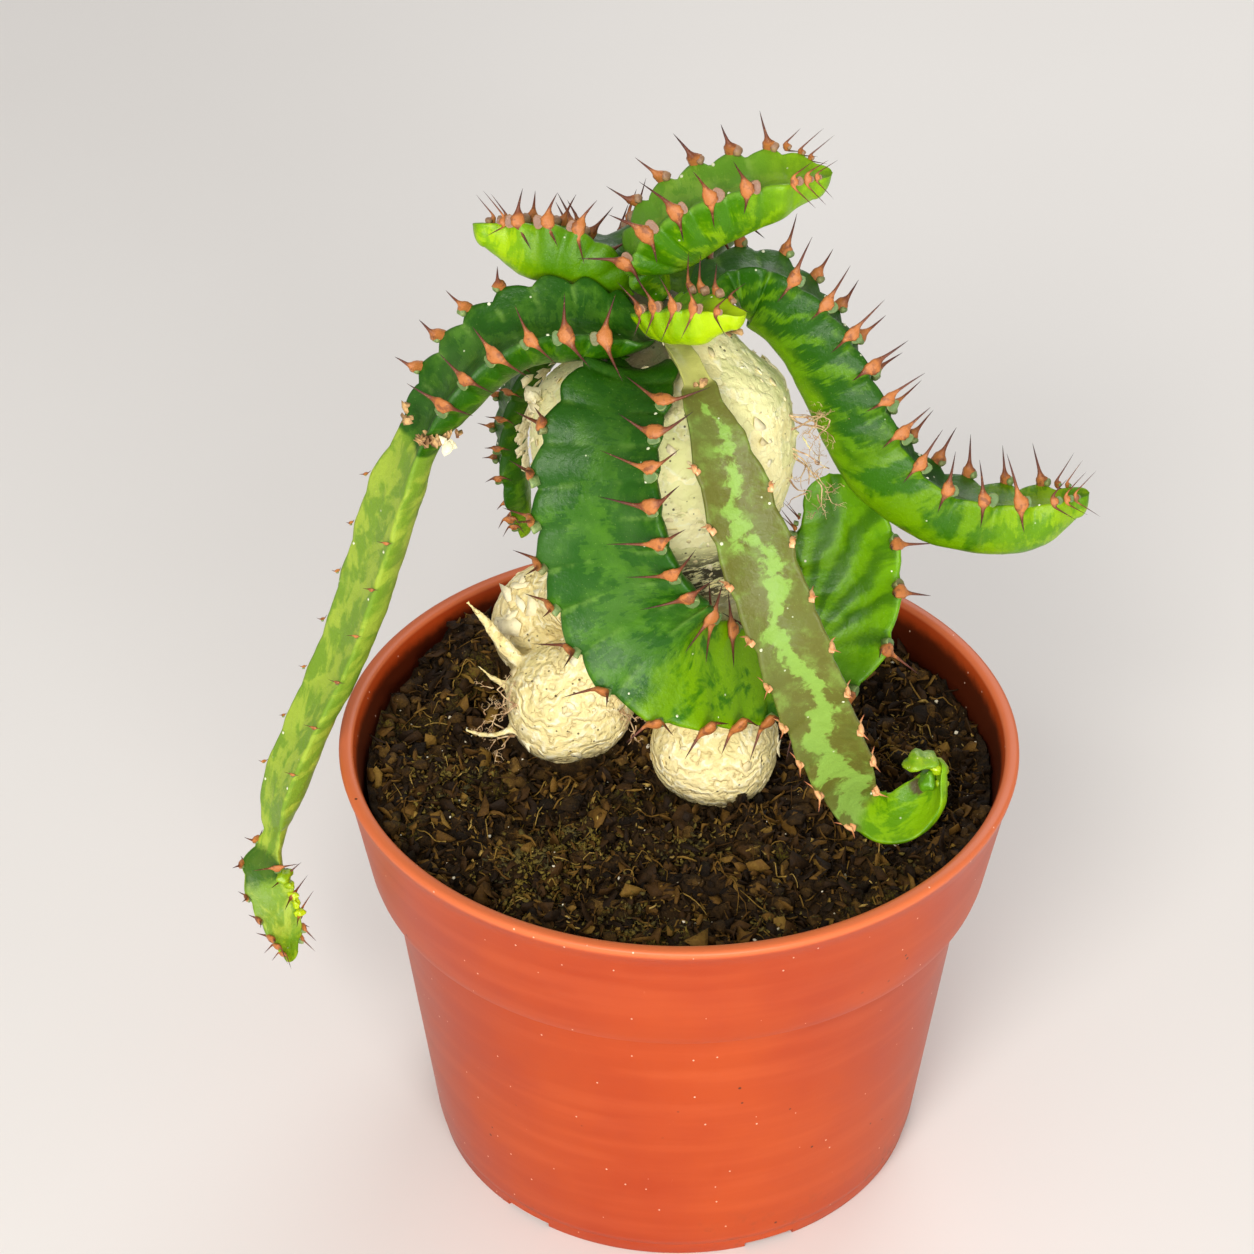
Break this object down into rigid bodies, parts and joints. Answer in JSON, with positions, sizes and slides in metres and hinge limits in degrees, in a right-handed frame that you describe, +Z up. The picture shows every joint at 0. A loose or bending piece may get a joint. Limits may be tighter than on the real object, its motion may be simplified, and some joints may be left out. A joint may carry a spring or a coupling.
{
  "type": "potted euphorbia stellata",
  "caption": "Caudiciform succulent with flat channelled spiny branches arching from a swollen bare root, standing in soil in a round plastic nursery pot.",
  "frame": {"origin": "on the pot's axis, at the level of the surface that the pot stands on", "axes": "+Z up along the pot's axis; -Y is the front of the plant as pictured; +X to the right seen from the front"},
  "size_m": [0.1489, 0.12, 0.1989],
  "materials": {
    "pot": "satin",
    "soil": "matte",
    "caudex": "matte",
    "dark_branch": "satin",
    "fresh_branch": "satin",
    "dull_branch": "satin"
  },
  "bodies": {
    "root": {"pot": "pot", "soil": "soil", "caudex": "caudex", "branch_left_long": "dark_branch", "branch_left_short": "fresh_branch", "branch_right_up": "dark_branch", "branch_front_bud": "fresh_branch", "branch_right_arch": "dark_branch", "branch_front_curl": "dark_branch", "branch_front_hanging": "dull_branch", "branch_left_behind": "dull_branch", "branch_back": "dark_branch", "branch_back_stub": "fresh_branch"}
  },
  "joints": []
}
